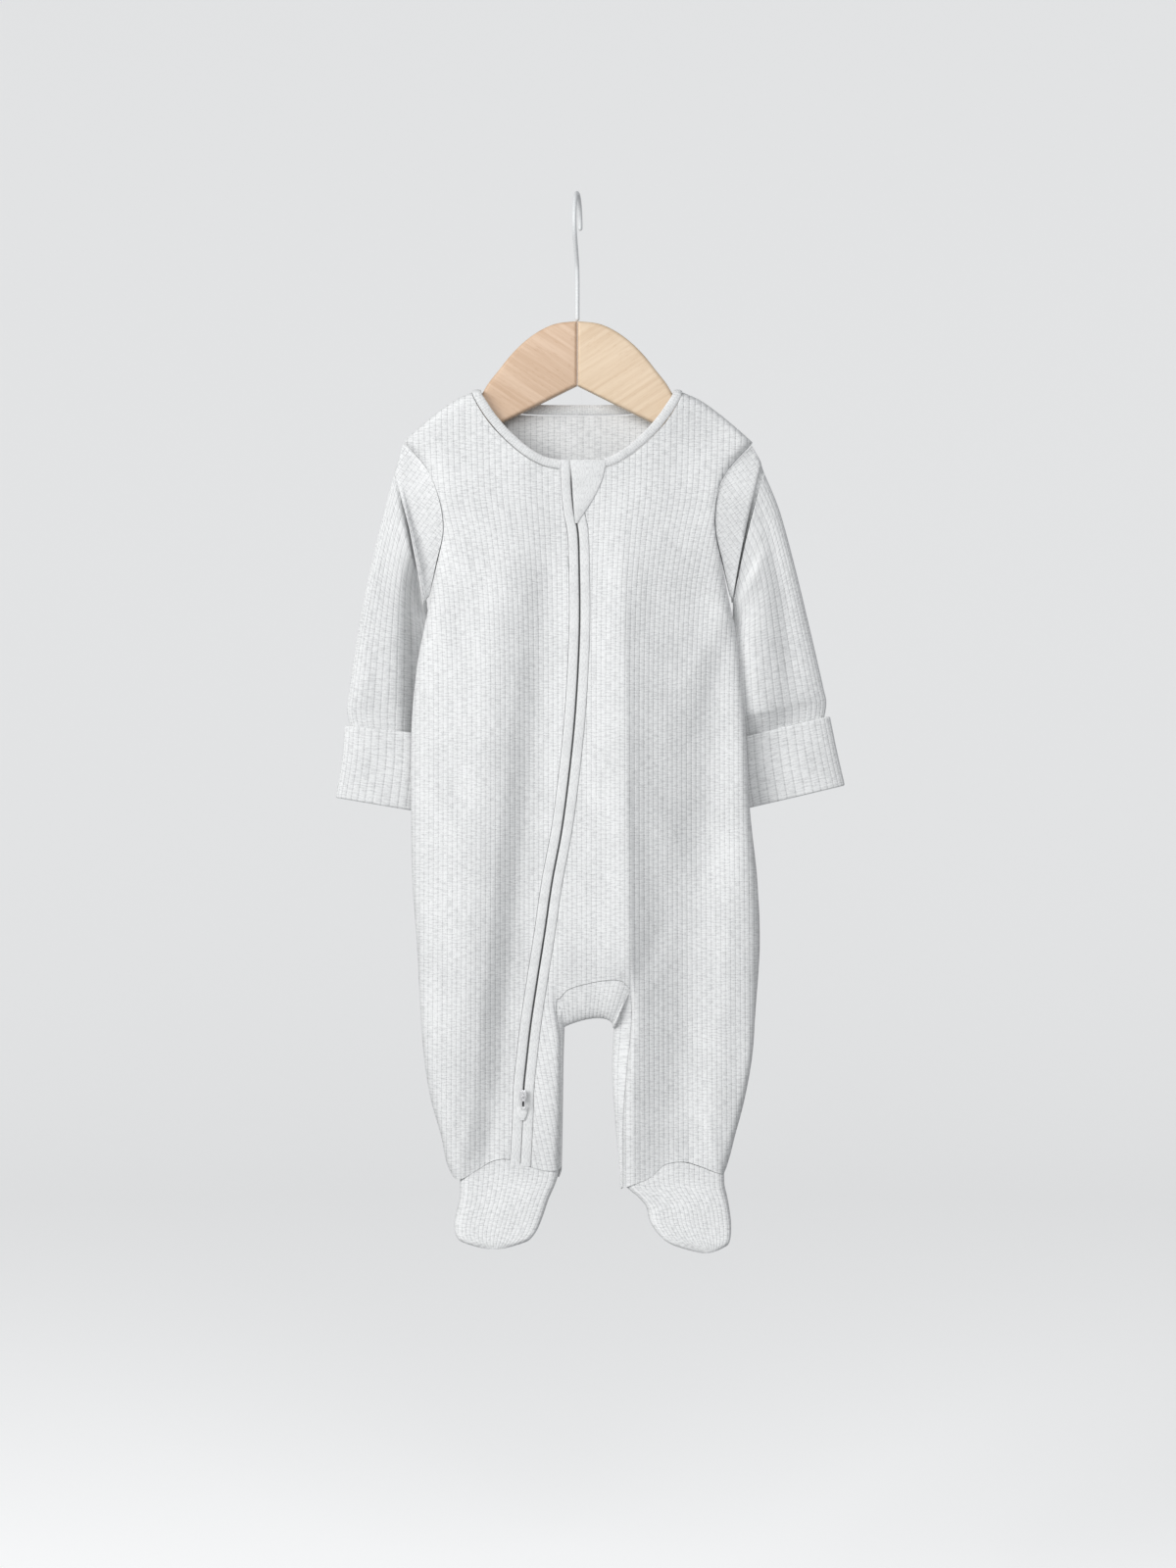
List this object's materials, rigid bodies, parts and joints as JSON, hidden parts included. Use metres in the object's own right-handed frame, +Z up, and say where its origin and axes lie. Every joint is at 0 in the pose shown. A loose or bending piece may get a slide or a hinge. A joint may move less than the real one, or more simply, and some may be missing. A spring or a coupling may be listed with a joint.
{
  "type": "footed baby sleepsuit on a hanger",
  "caption": "Footed baby sleepsuit in ribbed jersey, with long sleeves, turned-back mitten cuffs and a curved front zip, hanging on a small two-part wooden hanger with a wire hook.",
  "frame": {"origin": "the inside of the hook's crown, where the hook bears on a clothes rail", "axes": "+Z up, -Y out of the garment's front, +X towards the wearer's left"},
  "size_m": [0.3349, 0.0744, 0.6889],
  "materials": {
    "rib_knit": "pale grey marl ribbed cotton jersey",
    "plain_knit": "pale grey marl plain cotton jersey",
    "trim_knit": "pale grey marl fine rib binding",
    "zip_coil": "grey nylon coil",
    "zip_metal": "nickel plated",
    "beech": "clear lacquered beech",
    "coated_wire": "white coated steel wire"
  },
  "bodies": {
    "suit": {"front_right": "rib_knit", "front_left": "rib_knit", "back": "rib_knit", "gusset": "rib_knit", "sleeve_right": "rib_knit", "sleeve_left": "rib_knit", "cuff_right": "rib_knit", "cuff_left": "rib_knit", "foot_upper_right": "rib_knit", "foot_upper_left": "rib_knit", "foot_sole_right": "plain_knit", "foot_sole_left": "plain_knit", "neck_binding": "trim_knit", "zip_facing_right": "trim_knit", "zip_facing_left": "trim_knit", "zip_flap": "plain_knit", "zip_tab": "plain_knit", "zip_coil": "zip_coil", "zip_slider": "zip_metal", "hanger_right": "beech", "hanger_left": "beech", "hook": "coated_wire"},
    "pull_tab": {"zip_pull": "zip_metal"}
  },
  "joints": [
    {"name": "pull_tab_hinge", "type": "hinge", "parent": "suit", "child": "pull_tab", "pos_m": [-0.035, -0.01575, -0.5864], "axis": [-1, 0, 0], "range_deg": [0, 160]}
  ]
}
